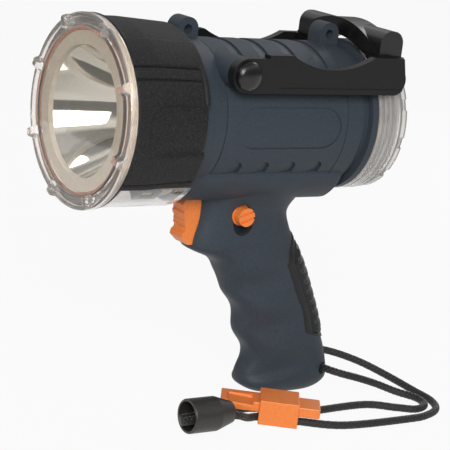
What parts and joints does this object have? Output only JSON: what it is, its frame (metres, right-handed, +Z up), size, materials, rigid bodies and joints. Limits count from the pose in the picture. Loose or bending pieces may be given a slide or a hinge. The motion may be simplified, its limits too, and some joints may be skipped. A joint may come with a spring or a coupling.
{
  "type": "searchlight",
  "caption": "Handheld LED searchlight with a pistol grip, folding carrying handle, clear screw-on rear cap, orange trigger and wrist lanyard.",
  "frame": {"origin": "middle of the hand grip, where the hand holds it", "axes": "+X runs from the lens to the rear cap along the beam, +Z is up, +Y is the lamp's right side"},
  "size_m": [0.2393, 0.1277, 0.2216],
  "materials": {
    "clear_plastic": "clear, gloss",
    "orange_rubber": "satin",
    "grey_plastic": "satin",
    "reflector_chrome": "polished",
    "led_yellow": "gloss",
    "board_white": "satin",
    "sink_aluminium": "satin",
    "black_rubber": "matte, fine grain",
    "slate_plastic": "fine matte texture",
    "black_plastic": "satin",
    "steel": "plain",
    "cell_wrap": "gloss",
    "board_green": "satin",
    "wire_red": "satin",
    "orange_plastic": "satin",
    "cord_black": "braided",
    "bell_black": "satin"
  },
  "bodies": {
    "lamp": {"front_lens": "clear_plastic", "front_seal": "orange_rubber", "lens_bezel": "grey_plastic", "reflector": "reflector_chrome", "led_emitter": "led_yellow", "led_board": "board_white", "heat_sink": "sink_aluminium", "head_bumper": "black_rubber", "flood_window": "clear_plastic", "flood_tray": "board_white", "flood_leds": "led_yellow", "head_shell": "slate_plastic", "barrel_housing": "slate_plastic", "barrel_neck": "slate_plastic", "rear_plate": "black_plastic", "charge_socket": "black_plastic", "battery_cells": "cell_wrap", "battery_holder": "black_plastic", "driver_board": "board_green", "wiring": "wire_red", "grip_left": "slate_plastic", "grip_right": "slate_plastic", "grip_screws": "steel", "backstrap": "black_rubber", "trigger_switch": "black_plastic", "pivot_bolts": "steel", "pivot_washers": "steel", "pivot_caps": "black_plastic", "lanyard_cord": "cord_black", "cord_lock_sleeve": "orange_plastic", "cord_end_bell": "bell_black"},
    "handle": {"handle_arm_left": "black_plastic", "handle_arm_right": "black_plastic", "handle_crossbar": "black_plastic", "crossbar_dowels": "steel"},
    "trigger_set": {"trigger": "orange_plastic", "trigger_spring": "steel"},
    "lock_knob": {"lock_slider": "orange_plastic"},
    "cap_ring": {"rear_seal": "orange_rubber"},
    "cap": {"rear_cap": "clear_plastic"},
    "lock_tongue": {"cord_lock_tongue": "orange_plastic"}
  },
  "joints": [
    {"name": "handle_fold", "type": "hinge", "parent": "lamp", "child": "handle", "pos_m": [-0.0687, 0, 0.1368], "axis": [0, -1, 0], "range_deg": [0, 150]},
    {"name": "trigger_pull", "type": "slide", "parent": "lamp", "child": "trigger_set", "axis": [1, 0, 0], "range_m": [0, 0.006], "stiffness_N_per_m": 500, "springref_m": -0.005},
    {"name": "lock_slide", "type": "slide", "parent": "lamp", "child": "lock_knob", "axis": [0.309, 0, -0.9511], "range_m": [0, 0.006]},
    {"name": "cap_travel", "type": "slide", "parent": "lamp", "child": "cap_ring", "axis": [1, 0, 0], "range_m": [0, 0.0103]},
    {"name": "cap_turn", "type": "hinge", "parent": "cap_ring", "child": "cap", "pos_m": [0.035, 0, 0.108], "axis": [1, 0, 0], "range_deg": [0, 1080]},
    {"name": "tongue_press", "type": "slide", "parent": "lamp", "child": "lock_tongue", "axis": [0.809, -0.5878, 0], "range_m": [0, 0.005], "stiffness_N_per_m": 400, "springref_m": -0.004}
  ],
  "couplings": [
    {"joint": "cap_travel", "follows": "cap_turn", "m_per_rad": 0.00054113}
  ]
}
